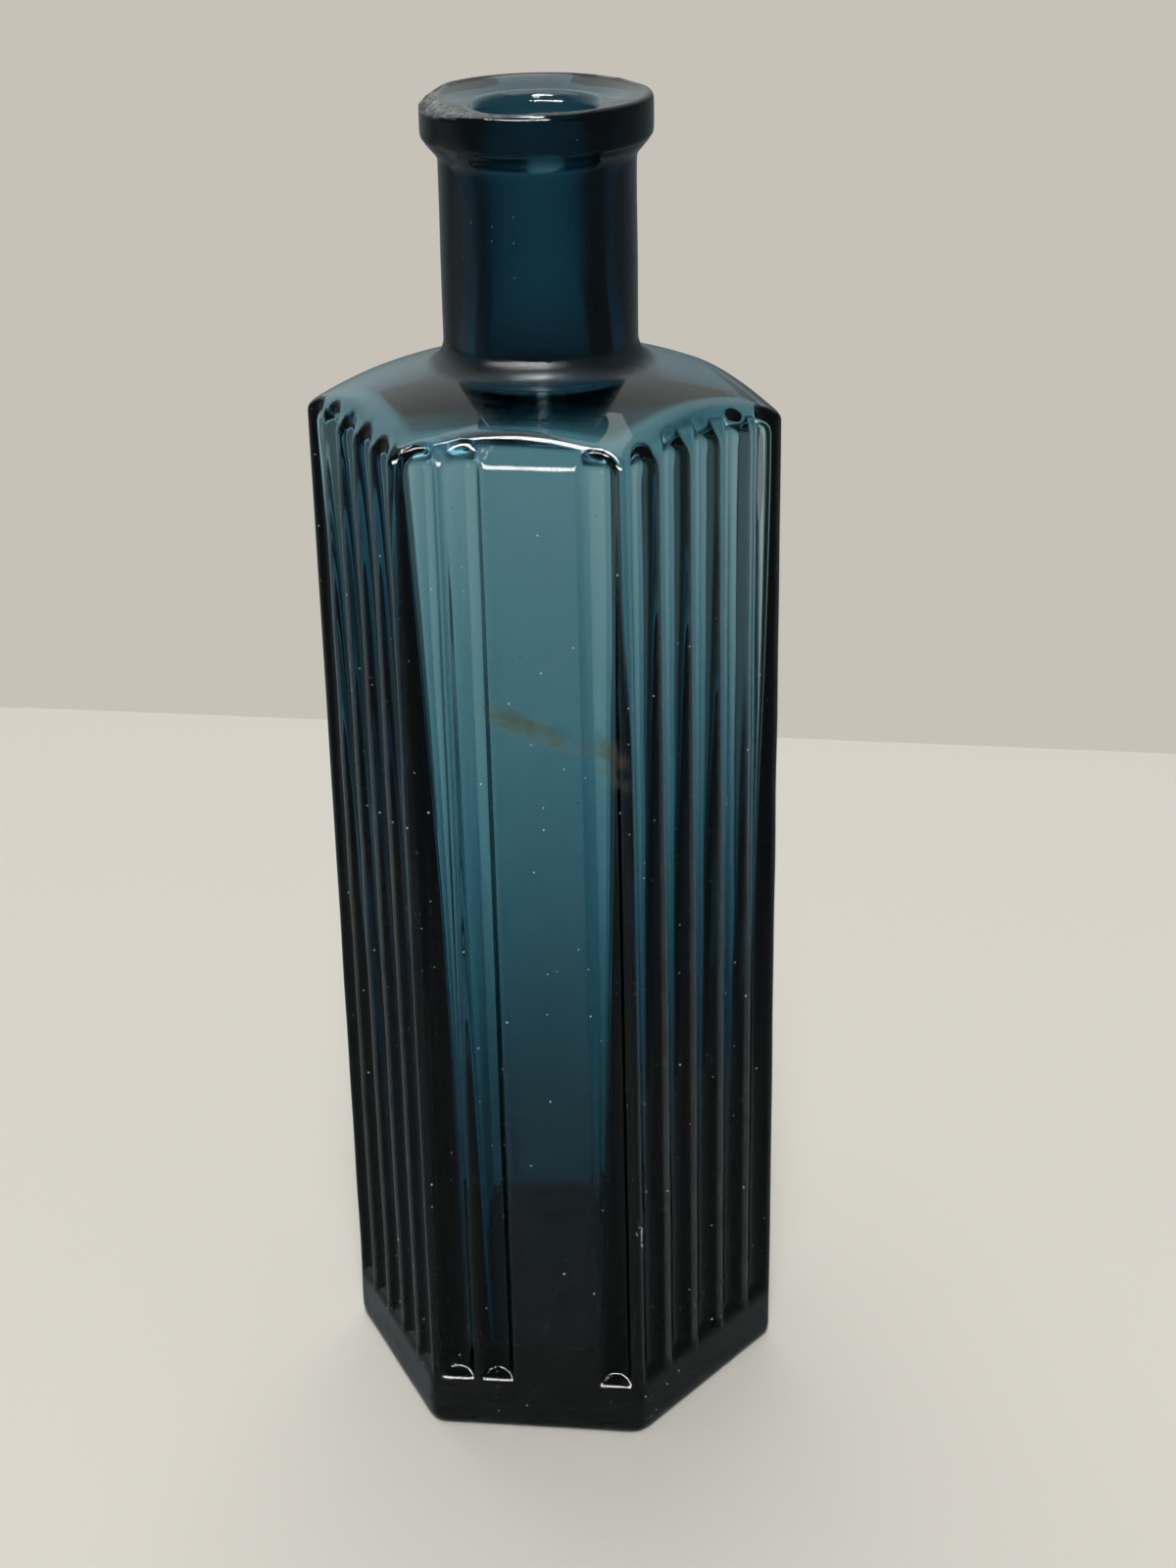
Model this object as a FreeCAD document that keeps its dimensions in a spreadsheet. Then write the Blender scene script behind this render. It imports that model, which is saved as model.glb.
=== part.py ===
import FreeCAD, Part
import math
import os
import Sketcher

# Hexagonal mould-blown glass bottle with an applied lip.
# Millimetres, +Z up, origin at the centre of the base, front panel facing -Y.

SIZES = [
    ("front_width", 28.0, "front and back panels, between their sharp corners"),
    ("depth_over_flats", 51.6, "front panel to back panel"),
    ("width_over_corners", 60.2, "left corner to right corner, before rounding"),
    ("corner_radius", 3.0, "rounding of the six upright corners"),
    ("heel_radius", 1.8, "rounding where the panels meet the base"),
    ("dish_diameter", 34.0, "shallow dish under the base"),
    ("dish_depth", 1.0, "shallow dish under the base"),
    ("band_height", 7.4, "plain band below the flutes"),
    ("flute_width", 4.7, "flute, across its mouth before rounding"),
    ("flute_depth", 1.4, "flute, below the panel's face"),
    ("flute_margin", 3.4, "sharp corner to the middle of the first flute"),
    ("flute_places", 5, "places for flutes across each fluted panel"),
    ("flute_edge_radius", 0.9, "rounding of each flute's mouth, and so of the ridges between flutes"),
    ("ledge_slope", 45.0, "tilt of the ledge at each flute's foot, degrees"),
    ("shoulder_height", 133.6, "shoulder dome, height at the corners"),
    ("dome_rise", 6.8, "shoulder dome, from the corners up to the neck"),
    ("bevel_drop", 2.5, "bevel over each panel, below the dome's edge there"),
    ("bevel_lean", 31.0, "bevel over each panel, lean from upright, degrees"),
    ("neck_diameter", 23.9, "neck, outside"),
    ("neck_length", 31.6, "neck's foot to the rim of the lip"),
    ("neck_foot_radius", 2.0, "fillet at the neck's foot"),
    ("neck_end_drop", 3.4, "end of the blown neck, below the rim of the lip"),
    ("bore_diameter", 14.2, "mouth and neck, inside"),
    ("lip_diameter", 27.9, "applied lip, outside"),
    ("lip_side_height", 4.5, "applied lip, upright side"),
    ("lip_bevel_height", 2.5, "applied lip, bevel back to the neck"),
    ("lip_edge_chamfer", 0.5, "applied lip, broken edge of the rim"),
    ("lip_dish_depth", 1.2, "applied lip, fall from the rim to the bore"),
    ("wall_thickness", 3.6, "panels and shoulder"),
    ("floor_thickness", 8.0, "base, from the table to the hollow"),
    ("inner_corner_radius", 8.0, "hollow, rounding of its upright corners"),
    ("inner_heel_radius", 5.0, "hollow, rounding at the floor"),
    ("inner_foot_radius", 3.0, "hollow, rounding where the bore opens into the shoulder"),
]

doc = FreeCAD.newDocument("bottle")
sheet = doc.addObject("Spreadsheet::Sheet", "sizes")
for row, (name, amount, note) in enumerate(SIZES, start=1):
    sheet.set(f"A{row}", name)
    sheet.set(f"B{row}", str(amount))
    sheet.setAlias(f"B{row}", name)
    sheet.set(f"C{row}", note)
doc.recompute()

# Lengths and angles that follow from the sizes, written for binding.
HALF_FRONT = "(sizes.front_width / 2)"
HALF_DEPTH = "(sizes.depth_over_flats / 2)"
HALF_CORNERS = "(sizes.width_over_corners / 2)"
CORNER_RUN = f"({HALF_CORNERS} - {HALF_FRONT})"
SIDE_LENGTH = f"sqrt({CORNER_RUN}^2 + {HALF_DEPTH}^2)"
SIDE_DISTANCE = f"({HALF_CORNERS} * {HALF_DEPTH} / {SIDE_LENGTH})"
SIDE_MIDDLE = f"((({HALF_CORNERS} + {HALF_FRONT}) * {CORNER_RUN} - {HALF_DEPTH}^2) / 2 / {SIDE_LENGTH})"
FRONT_TURN = "-90 deg"
RIGHT_TURN = f"-atan({CORNER_RUN} / {HALF_DEPTH})"
LEFT_TURN = f"atan({CORNER_RUN} / {HALF_DEPTH}) - 180 deg"
NECK_RADIUS = "(sizes.neck_diameter / 2)"
BORE_RADIUS = "(sizes.bore_diameter / 2)"
LIP_RADIUS = "(sizes.lip_diameter / 2)"
NECK_FOOT = "(sizes.shoulder_height + sizes.dome_rise)"
RIM_HEIGHT = f"({NECK_FOOT} + sizes.neck_length)"
NECK_END = f"({RIM_HEIGHT} - sizes.neck_end_drop)"
CLEAR = "40"
ON_AXIS = "centred on the axis"


def value(expression):
    """The number that an expression has now."""
    result = sheet.evalExpression(expression)
    return float(getattr(result, "Value", result))


def origin_plane(body, role):
    """One of a body's own base planes."""
    return next(item for item in body.Origin.OriginFeatures if item.Role == role)


def new_sketch(body, name, role, turn=None):
    """A sketch on one of the body's base planes, turned about the bottle's axis if asked."""
    sketch = body.newObject("Sketcher::SketchObject", name)
    sketch.AttachmentSupport = [(origin_plane(body, role), "")]
    sketch.MapMode = "FlatFace"
    if turn:
        upward = FreeCAD.Vector(0, 0, 1) if role == "XY_Plane" else FreeCAD.Vector(0, 1, 0)
        sketch.AttachmentOffset = FreeCAD.Placement(FreeCAD.Vector(), FreeCAD.Rotation(upward, value(turn)))
        sketch.setExpression(".AttachmentOffset.Rotation.Angle", turn)
    return sketch


def bind(sketch, constraint, expression):
    """Add a dimension to a sketch and tie it to an expression."""
    index = sketch.addConstraint(constraint)
    sketch.setExpression(f"Constraints[{index}]", expression)


def pin(sketch, geometry, end, across, along):
    """Hold one point of a sketch at two distances from its origin."""
    for axis, kind, expression in ((-2, "DistanceX", across), (-1, "DistanceY", along)):
        if expression == "0":
            sketch.addConstraint(Sketcher.Constraint("PointOnObject", geometry, end, axis))
        else:
            bind(sketch, Sketcher.Constraint(kind, -1, 1, geometry, end, value(expression)), expression)


def bend(start, end, centre):
    """The shorter arc between two points, and which of its ends comes first."""
    first, last = (math.atan2(point.y - centre.y, point.x - centre.x) for point in (start, end))
    circle = Part.Circle(centre, FreeCAD.Vector(0, 0, 1), (start - centre).Length)
    if (last - first) % (2 * math.pi) < math.pi:
        return Part.ArcOfCircle(circle, first, last), (1, 2)
    return Part.ArcOfCircle(circle, last, first), (2, 1)


def outline(sketch, corners, left_bends=None, right_bends=None):
    """A closed outline through corners. A bend that leaves a corner has a radius or is centred on the axis."""
    left_bends = left_bends or {}
    right_bends = right_bends or {}
    points = [FreeCAD.Vector(value(across), value(along), 0) for across, along in corners]
    count = len(points)
    ends = []
    for index, start in enumerate(points):
        end = points[(index + 1) % count]
        radius = left_bends.get(index) or right_bends.get(index)
        if radius is None:
            sketch.addGeometry(Part.LineSegment(start, end))
            ends.append((1, 2))
            continue
        half_way = (start + end) * 0.5
        chord = end - start
        left = FreeCAD.Vector(-chord.y, chord.x, 0).normalize()
        if radius == ON_AXIS:
            centre = half_way - left * (half_way.x / left.x)
        else:
            side = 1 if index in left_bends else -1
            centre = half_way + left * side * math.sqrt(value(radius) ** 2 - chord.Length**2 / 4)
        arc, order = bend(start, end, centre)
        sketch.addGeometry(arc)
        ends.append(order)
    for index in range(count):
        after = (index + 1) % count
        sketch.addConstraint(Sketcher.Constraint("Coincident", index, ends[index][1], after, ends[after][0]))
    for index, (across, along) in enumerate(corners):
        pin(sketch, index, ends[index][0], across, along)
    for index, radius in {**left_bends, **right_bends}.items():
        if radius == ON_AXIS:
            sketch.addConstraint(Sketcher.Constraint("PointOnObject", index, 3, -2))
        else:
            bind(sketch, Sketcher.Constraint("Radius", index, value(radius)), radius)


def hexagon(body, name, half_front, half_depth, half_corners):
    """The six-sided plan, held by its three widths."""
    sketch = new_sketch(body, name, "XY_Plane")
    outline(
        sketch,
        [
            (f"-({half_corners})", "0"),
            (f"-({half_front})", f"-({half_depth})"),
            (half_front, f"-({half_depth})"),
            (half_corners, "0"),
            (half_front, half_depth),
            (f"-({half_front})", half_depth),
        ],
    )
    return sketch


def dome_centre(rim_height, column_radius):
    """Height of the middle of the sphere through the corners and the foot of a column."""
    return (
        f"({rim_height} + sizes.dome_rise / 2"
        f" - ({HALF_CORNERS}^2 - {column_radius}^2) / (2 * sizes.dome_rise))"
    )


def dome_radius(rim_height, column_radius):
    """Radius of that sphere."""
    return f"sqrt({HALF_CORNERS}^2 + ({rim_height} - {dome_centre(rim_height, column_radius)})^2)"


def dome_section(body, name, rim_height, column_radius, fillet, top):
    """What lies outside a dome and the column on it, with a fillet between the two."""
    centre = dome_centre(rim_height, column_radius)
    radius = dome_radius(rim_height, column_radius)
    fillet_across = f"({column_radius} + {fillet})"
    fillet_up = f"sqrt(({radius} + {fillet})^2 - {fillet_across}^2)"
    share = f"({radius} / ({radius} + {fillet}))"
    sketch = new_sketch(body, name, "XZ_Plane")
    outline(
        sketch,
        [
            (HALF_CORNERS, rim_height),
            (f"{fillet_across} * {share}", f"{centre} + {fillet_up} * {share}"),
            (column_radius, f"{centre} + {fillet_up}"),
            (column_radius, top),
            (f"{HALF_CORNERS} + {CLEAR}", top),
            (f"{HALF_CORNERS} + {CLEAR}", rim_height),
        ],
        left_bends={0: ON_AXIS},
        right_bends={1: fillet},
    )
    return sketch


def feature(body, kind, name, profile, **bound):
    """A sketch-based feature with its sizes bound."""
    item = body.newObject(kind, name)
    item.Profile = profile
    for prop, expression in bound.items():
        item.setExpression(prop, expression)
    return item


def turned(body, kind, name, sketch):
    """A full turn of a sketch about the bottle's axis, added or cut."""
    item = feature(body, kind, name, sketch)
    item.ReferenceAxis = (sketch, ["V_Axis"])
    item.Angle = 360
    doc.recompute()
    return item


def wide_cut(body, name, sketch):
    """A cut that goes right across the bottle, both ways from its sketch."""
    item = feature(body, "PartDesign::Pocket", name, sketch, Length="2 * sizes.width_over_corners")
    item.Midplane = True
    doc.recompute()
    return item


def cut_out(body, name, tools):
    """Take other bodies out of a body."""
    item = body.newObject("PartDesign::Boolean", name)
    item.Type = "Cut"
    item.setObjects(tools)
    body.Tip = item
    doc.recompute()
    return item


def rounded(body, name, base, test, radius):
    """A fillet on the edges of the body so far that pass a test."""
    doc.recompute()
    names = [f"Edge{index}" for index, edge in enumerate(base.Shape.Edges, start=1) if test(base.Shape, edge)]
    item = body.newObject("PartDesign::Fillet", name)
    item.Base = (base, names)
    item.setExpression("Radius", radius)
    doc.recompute()
    return item


def upright(shape, edge):
    """True of a straight edge that runs along the axis."""
    return isinstance(edge.Curve, Part.Line) and abs(edge.Curve.Direction.z) > 0.999


def level_at(height):
    """A test for edges that lie level at a height."""
    def test(shape, edge):
        box = edge.BoundBox
        return box.ZLength < 0.001 and abs(box.ZMin - value(height)) < 0.001
    return test


# Blown body: a six-sided prism, turned down to the shoulder dome and the neck.
blown = doc.addObject("PartDesign::Body", "glass_body")
blown.Label = "glass_body"
plan = hexagon(blown, "plan", HALF_FRONT, HALF_DEPTH, HALF_CORNERS)
prism = feature(blown, "PartDesign::Pad", "prism", plan, Length=NECK_END)
rounded(blown, "corners", prism, upright, "sizes.corner_radius")
outside = dome_section(
    blown, "outside", "sizes.shoulder_height", NECK_RADIUS, "sizes.neck_foot_radius", f"{NECK_END} + 1"
)
turned(blown, "PartDesign::Groove", "dome_and_neck", outside)

# A leaning bevel over each panel, cut in three directions and repeated opposite.
DOME_CENTRE = dome_centre("sizes.shoulder_height", NECK_RADIUS)
DOME_RADIUS = dome_radius("sizes.shoulder_height", NECK_RADIUS)
BEVEL_RISE = "(sizes.dome_rise + sizes.bevel_drop)"
PANELS = {
    "front": (FRONT_TURN, HALF_DEPTH),
    "right": (RIGHT_TURN, SIDE_DISTANCE),
    "left": (LEFT_TURN, SIDE_DISTANCE),
}
bevels = []
for panel, (turn, distance) in PANELS.items():
    foot = f"({DOME_CENTRE} + sqrt({DOME_RADIUS}^2 - {distance}^2) - sizes.bevel_drop)"
    section = new_sketch(blown, f"bevel_section_{panel}", "XZ_Plane", turn)
    outline(
        section,
        [
            (distance, foot),
            (f"{distance} + {CLEAR}", foot),
            (f"{distance} + {CLEAR}", f"{foot} + {BEVEL_RISE}"),
            (f"{distance} - {BEVEL_RISE} * tan(sizes.bevel_lean * 1 deg)", f"{foot} + {BEVEL_RISE}"),
        ],
    )
    bevels.append(wide_cut(blown, f"bevel_{panel}", section))
opposite_bevels = blown.newObject("PartDesign::PolarPattern", "opposite_bevels")
opposite_bevels.Originals = bevels
opposite_bevels.Axis = (outside, ["V_Axis"])
opposite_bevels.Angle = 360
opposite_bevels.Occurrences = 2
blown.Tip = opposite_bevels
doc.recompute()

# Round flutes above the plain band. Each is cut by an upright tool with a rounded mouth,
# whose foot has the ledge's slope.
FLUTE_RADIUS = "(((sizes.flute_width / 2)^2 + sizes.flute_depth^2) / (2 * sizes.flute_depth))"
FLUTE_OUTSET = f"({FLUTE_RADIUS} - sizes.flute_depth)"
MOUTH_REACH = f"({FLUTE_RADIUS} + sizes.flute_edge_radius)"
MOUTH_OUTSET = f"({FLUTE_OUTSET} + sizes.flute_edge_radius)"
MOUTH_HALF = f"sqrt({MOUTH_REACH}^2 - {MOUTH_OUTSET}^2)"
MOUTH_SHARE = f"({FLUTE_RADIUS} / {MOUTH_REACH})"
MOUTH_SINK = f"({MOUTH_OUTSET} * {MOUTH_SHARE} - {FLUTE_OUTSET})"
LEDGE_RISE = "tan(sizes.ledge_slope * 1 deg)"
FRONT_RUN = "(sizes.front_width - 2 * sizes.flute_margin)"
FRONT_PITCH = f"({FRONT_RUN} / (sizes.flute_places - 1))"
SIDE_RUN = f"({SIDE_LENGTH} - 2 * sizes.flute_margin)"


def flute_tool(name, turn, distance, first, run, count):
    """The tool for a run of flutes on one panel: where the first one is, how far the run goes and how many."""
    tool = doc.addObject("PartDesign::Body", f"flute_tool_{name}")
    section = new_sketch(tool, f"flute_section_{name}", "XY_Plane", turn)
    reach = "(sizes.flute_depth + 1)"
    outline(
        section,
        [
            (distance, f"{first} + {MOUTH_HALF}"),
            (f"{distance} - {MOUTH_SINK}", f"{first} + {MOUTH_HALF} * {MOUTH_SHARE}"),
            (f"{distance} - {MOUTH_SINK}", f"{first} - {MOUTH_HALF} * {MOUTH_SHARE}"),
            (distance, f"{first} - {MOUTH_HALF}"),
            (f"{distance} + {reach}", f"{first} - {MOUTH_HALF}"),
            (f"{distance} + {reach}", f"{first} + {MOUTH_HALF}"),
        ],
        left_bends={1: FLUTE_RADIUS},
        right_bends={0: "sizes.flute_edge_radius", 2: "sizes.flute_edge_radius"},
    )
    rod = feature(tool, "PartDesign::Pad", f"flute_rod_{name}", section, Length=NECK_END)
    doc.recompute()
    if count != "1":
        rods = tool.newObject("PartDesign::LinearPattern", f"flute_rods_{name}")
        rods.Originals = [rod]
        rods.Direction = (section, ["V_Axis"])
        rods.setExpression("Length", run)
        rods.setExpression("Occurrences", count)
        tool.Tip = rods
        doc.recompute()
    slope = new_sketch(tool, f"flute_slope_{name}", "XZ_Plane", turn)
    outline(
        slope,
        [
            (f"{distance} + {reach}", f"sizes.band_height - {reach} * {LEDGE_RISE}"),
            (f"{distance} - {reach}", f"sizes.band_height + {reach} * {LEDGE_RISE}"),
            (f"{distance} - {reach}", f"-{CLEAR}"),
            (f"{distance} + {reach}", f"-{CLEAR}"),
        ],
    )
    wide_cut(tool, f"flute_foot_{name}", slope)
    return tool


fluted = cut_out(blown, "fluted", [
    flute_tool("right", RIGHT_TURN, SIDE_DISTANCE, f"{SIDE_MIDDLE} - {SIDE_RUN} / 2", SIDE_RUN, "sizes.flute_places"),
    flute_tool("left", LEFT_TURN, SIDE_DISTANCE, f"-{SIDE_MIDDLE} - {SIDE_RUN} / 2", SIDE_RUN, "sizes.flute_places"),
    flute_tool("front_left", FRONT_TURN, HALF_DEPTH, f"-{FRONT_RUN} / 2", FRONT_PITCH, "2"),
    flute_tool("front_right", FRONT_TURN, HALF_DEPTH, f"{FRONT_RUN} / 2", "0", "1"),
])
rounded(blown, "heel", fluted, level_at("0"), "sizes.heel_radius")

# Shallow dish under the base, so that the bottle stands on a flat ring.
dish_section = new_sketch(blown, "dish_section", "XZ_Plane")
outline(
    dish_section,
    [("0", "0"), ("sizes.dish_diameter / 2", "0"), ("0", "sizes.dish_depth")],
    left_bends={1: ON_AXIS},
)
turned(blown, "PartDesign::Groove", "dish", dish_section)

# The hollow, shaped as its own solid and then taken out of the blown body.
INNER_DEPTH = f"({HALF_DEPTH} - sizes.wall_thickness)"
INNER_CORNERS = f"({HALF_CORNERS} * ({SIDE_DISTANCE} - sizes.wall_thickness) / {SIDE_DISTANCE})"
INNER_FRONT = f"({INNER_CORNERS} - {INNER_DEPTH} * {CORNER_RUN} / {HALF_DEPTH})"
hollow = doc.addObject("PartDesign::Body", "hollow")
hollow_plan = hexagon(hollow, "hollow_plan", INNER_FRONT, INNER_DEPTH, INNER_CORNERS)
hollow_plan.setExpression(".AttachmentOffset.Base.z", "sizes.floor_thickness")
hollow_prism = feature(
    hollow, "PartDesign::Pad", "hollow_prism", hollow_plan, Length=f"{NECK_END} + 1 - sizes.floor_thickness"
)
rounded(hollow, "hollow_corners", hollow_prism, upright, "sizes.inner_corner_radius")
inside = dome_section(
    hollow,
    "inside",
    "(sizes.shoulder_height - sizes.wall_thickness)",
    BORE_RADIUS,
    "sizes.inner_foot_radius",
    f"{NECK_END} + 2",
)
hollow_dome = turned(hollow, "PartDesign::Groove", "hollow_dome", inside)
rounded(hollow, "hollow_heel", hollow_dome, level_at("sizes.floor_thickness"), "sizes.inner_heel_radius")
cut_out(blown, "hollowed", [hollow])

# Applied lip: a ring of glass laid over the end of the neck and tooled to shape.
lip = doc.addObject("PartDesign::Body", "applied_lip")
lip.Label = "applied_lip"
LIP_SIDE_FOOT = f"({RIM_HEIGHT} - sizes.lip_side_height)"
lip_section = new_sketch(lip, "lip_section", "XZ_Plane")
outline(
    lip_section,
    [
        (NECK_RADIUS, f"{LIP_SIDE_FOOT} - sizes.lip_bevel_height"),
        (LIP_RADIUS, LIP_SIDE_FOOT),
        (LIP_RADIUS, f"{RIM_HEIGHT} - sizes.lip_edge_chamfer"),
        (f"{LIP_RADIUS} - sizes.lip_edge_chamfer", RIM_HEIGHT),
        (BORE_RADIUS, f"{RIM_HEIGHT} - sizes.lip_dish_depth"),
        (BORE_RADIUS, NECK_END),
        (NECK_RADIUS, NECK_END),
    ],
)
turned(lip, "PartDesign::Revolution", "lip_ring", lip_section)

# Every cut must remove glass, and every object must be sound, before the files are written.
for item in doc.Objects:
    if "Invalid" in item.State or "Error" in item.State:
        raise RuntimeError(f"{item.Name} did not build")
    if item.TypeId in ("PartDesign::Pocket", "PartDesign::Groove", "PartDesign::Boolean"):
        if item.Shape.Volume > item.BaseFeature.Shape.Volume - 1.0:
            raise RuntimeError(f"{item.Name} removes nothing")
os.makedirs("parts", exist_ok=True)
for piece in (blown, lip):
    shape = piece.Shape
    if shape.isNull() or not shape.isValid() or len(shape.Solids) != 1:
        raise RuntimeError(f"{piece.Label} is not one sound solid")
    shape.exportStep(f"parts/{piece.Label}.step")
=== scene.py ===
import math
from collections import namedtuple

import bpy
import numpy as np
from mathutils import Matrix, Vector


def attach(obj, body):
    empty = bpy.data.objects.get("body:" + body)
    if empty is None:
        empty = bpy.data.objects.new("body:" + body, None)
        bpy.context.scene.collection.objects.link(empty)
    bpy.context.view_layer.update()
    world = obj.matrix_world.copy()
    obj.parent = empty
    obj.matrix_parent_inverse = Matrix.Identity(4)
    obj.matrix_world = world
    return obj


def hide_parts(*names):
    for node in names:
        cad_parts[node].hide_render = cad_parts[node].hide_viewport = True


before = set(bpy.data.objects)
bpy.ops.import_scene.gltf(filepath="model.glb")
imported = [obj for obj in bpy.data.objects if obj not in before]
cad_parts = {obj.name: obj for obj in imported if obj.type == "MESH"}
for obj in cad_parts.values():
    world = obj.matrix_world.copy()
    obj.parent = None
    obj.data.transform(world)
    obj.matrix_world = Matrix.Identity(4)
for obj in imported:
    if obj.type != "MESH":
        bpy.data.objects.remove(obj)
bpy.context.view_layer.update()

scene = bpy.context.scene
scene.view_settings.view_transform = "Standard"
SEED = 7
chance = np.random.default_rng(SEED)
MM = 0.001

# Sizes of the bottle in millimetres.
HALF_FRONT, HALF_DEPTH, HALF_CORNERS = 14.0, 25.8, 30.1
CORNER_RADIUS = 3.0
BAND_HEIGHT, LEDGE_RISE = 7.4, 1.0
FLUTE_WIDTH, FLUTE_DEPTH, FLUTE_MARGIN, FLUTE_GAPS = 4.7, 1.4, 3.4, 4
SHOULDER, DOME_RISE = 133.6, 6.8
BEVEL_DROP, BEVEL_LEAN = 2.5, math.radians(31.0)
NECK_RADIUS, LIP_RADIUS, BORE_RADIUS, NECK_BORE = 11.95, 13.95, 7.1, 6.1
RIM_ROUND, RIM_CENTRE = 0.8, 171.2
BASE_DISH_RADIUS, BASE_DISH_RISE = 17.0, 1.0

# The hollow: its wall near the shoulder, its floor and its own dome under the shoulder.
WALL, FLOOR = 2.1, 9.5
INNER_DOME_DROP, INNER_DOME_RISE = 1.2, 5.2
BORE_END = 120.0
# The walls thicken below this height, and thin out towards the two side corners.
WALL_TOP, WALL_RUN, WALL_UNIT = 130.0, 120.0, 100.0
CORNER_START, CORNER_RUN, CORNER_THINNING = 18.0, 11.0, 0.5

# Widths over which two surfaces melt into each other.
RIDGE_BLEND, LEDGE_BLEND = 0.6, 0.3
BEVEL_BLEND, BROW_BLEND, DOME_BLEND, NECK_BLEND = 0.8, 0.5, 0.6, 2.6
INNER_WALL_BLEND, INNER_DOME_BLEND, THROAT_BLEND = 1.4, 1.5, 7.0

# Each panel: outward direction, distance, length, middle, places of flutes, wall's growth, mesh lines.
Panel = namedtuple("Panel", "x y distance length middle flutes gain power lines")
FRONT_FLUTES, SIDE_FLUTES, NO_FLUTES = (0, 1, 4), (0, 1, 2, 3, 4), ()
FRONT_LINES, SIDE_LINES, PLAIN_LINES = 170, 184, 44
side_length = math.hypot(HALF_CORNERS - HALF_FRONT, HALF_DEPTH)
side_across, side_along = HALF_DEPTH / side_length, (HALF_CORNERS - HALF_FRONT) / side_length
side_distance = HALF_CORNERS * side_across
side_middle = ((HALF_CORNERS + HALF_FRONT) * (HALF_CORNERS - HALF_FRONT) - HALF_DEPTH**2) / 2 / side_length


def square_panel(toward_y, places, gain, power, lines):
    """The front or back panel, which is square to the view."""
    return Panel(0.0, toward_y, HALF_DEPTH, 2 * HALF_FRONT, 0.0, places, gain, power, lines)


def side_panel(toward_x, toward_y, places, gain, power, lines):
    """One of the four panels on the sides, by the signs of its outward direction."""
    across, along = toward_x * side_across, toward_y * side_along
    middle = -toward_x * toward_y * side_middle
    return Panel(across, along, side_distance, side_length, middle, places, gain, power, lines)


PANELS = {
    "front": square_panel(-1.0, FRONT_FLUTES, gain=2.9, power=1.5, lines=FRONT_LINES),
    "right": side_panel(1, -1, SIDE_FLUTES, gain=5.4, power=1.5, lines=SIDE_LINES),
    "right_back": side_panel(1, 1, NO_FLUTES, gain=4.0, power=1.5, lines=PLAIN_LINES),
    "back": square_panel(1.0, NO_FLUTES, gain=2.9, power=1.5, lines=PLAIN_LINES),
    "left_back": side_panel(-1, 1, NO_FLUTES, gain=4.6, power=1.2, lines=PLAIN_LINES),
    "left": side_panel(-1, -1, SIDE_FLUTES, gain=5.6, power=0.9, lines=SIDE_LINES),
}
FLUTE_RADIUS = ((FLUTE_WIDTH / 2) ** 2 + FLUTE_DEPTH**2) / (2 * FLUTE_DEPTH)


# Smooth joins of two distances, and the shapes made from them.
def smooth_max(a, b, width):
    near = np.maximum(width - np.abs(a - b), 0.0) / width
    return np.maximum(a, b) + near * near * width / 4


def smooth_min(a, b, width):
    return -smooth_max(-a, -b, width)


def dome(rim_height, rise, column_radius):
    """Centre height and radius of the sphere from the corners up to a column."""
    centre = rim_height + rise / 2 - (HALF_CORNERS**2 - column_radius**2) / (2 * rise)
    return centre, math.hypot(HALF_CORNERS, rim_height - centre)


OUTER_CENTRE, OUTER_RADIUS = dome(SHOULDER, DOME_RISE, NECK_RADIUS)
INNER_CENTRE, INNER_RADIUS = dome(SHOULDER - INNER_DOME_DROP, INNER_DOME_RISE, BORE_RADIUS)


def capped(radius, z, centre, dome_radius):
    """Distance from a column with a spherical top."""
    return np.hypot(radius, np.maximum(z - centre, 0)) - dome_radius


def out_of(panel, x, y):
    """Distance outwards from a panel's plane."""
    return panel.x * x + panel.y * y - panel.distance


def flutes(panel, out, x, y):
    """Distances from the flutes of one panel, below zero in a flute."""
    along = panel.x * y - panel.y * x
    pitch = (panel.length - 2 * FLUTE_MARGIN) / FLUTE_GAPS
    for place in panel.flutes:
        middle = panel.middle - panel.length / 2 + FLUTE_MARGIN + place * pitch
        yield np.hypot(out - FLUTE_RADIUS + FLUTE_DEPTH, along - middle) - FLUTE_RADIUS


def bevel(panel, x, y, z):
    """Distance from the leaning plane between one panel and the dome."""
    foot = OUTER_CENTRE + math.sqrt(OUTER_RADIUS**2 - panel.distance**2) - BEVEL_DROP
    return math.cos(BEVEL_LEAN) * out_of(panel, x, y) + math.sin(BEVEL_LEAN) * (z - foot)


def outside(x, y, z):
    """Below zero inside the outer surface of body, shoulder and neck."""
    body = -z
    bevels = -z
    for panel in PANELS.values():
        out = out_of(panel, x, y)
        face = out
        ledge = (BAND_HEIGHT - out * LEDGE_RISE - z) / math.sqrt(2)
        for cutter in flutes(panel, out, x, y):
            face = smooth_max(face, -smooth_max(cutter, ledge, LEDGE_BLEND), RIDGE_BLEND)
        body = smooth_max(body, face, CORNER_RADIUS / 2)
        bevels = smooth_max(bevels, bevel(panel, x, y, z), BEVEL_BLEND)
    body = smooth_max(body, bevels, BROW_BLEND)
    radius = np.hypot(x, y)
    body = smooth_max(body, capped(radius, z, OUTER_CENTRE, OUTER_RADIUS), DOME_BLEND)
    return smooth_min(body, radius - NECK_RADIUS, NECK_BLEND)


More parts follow.
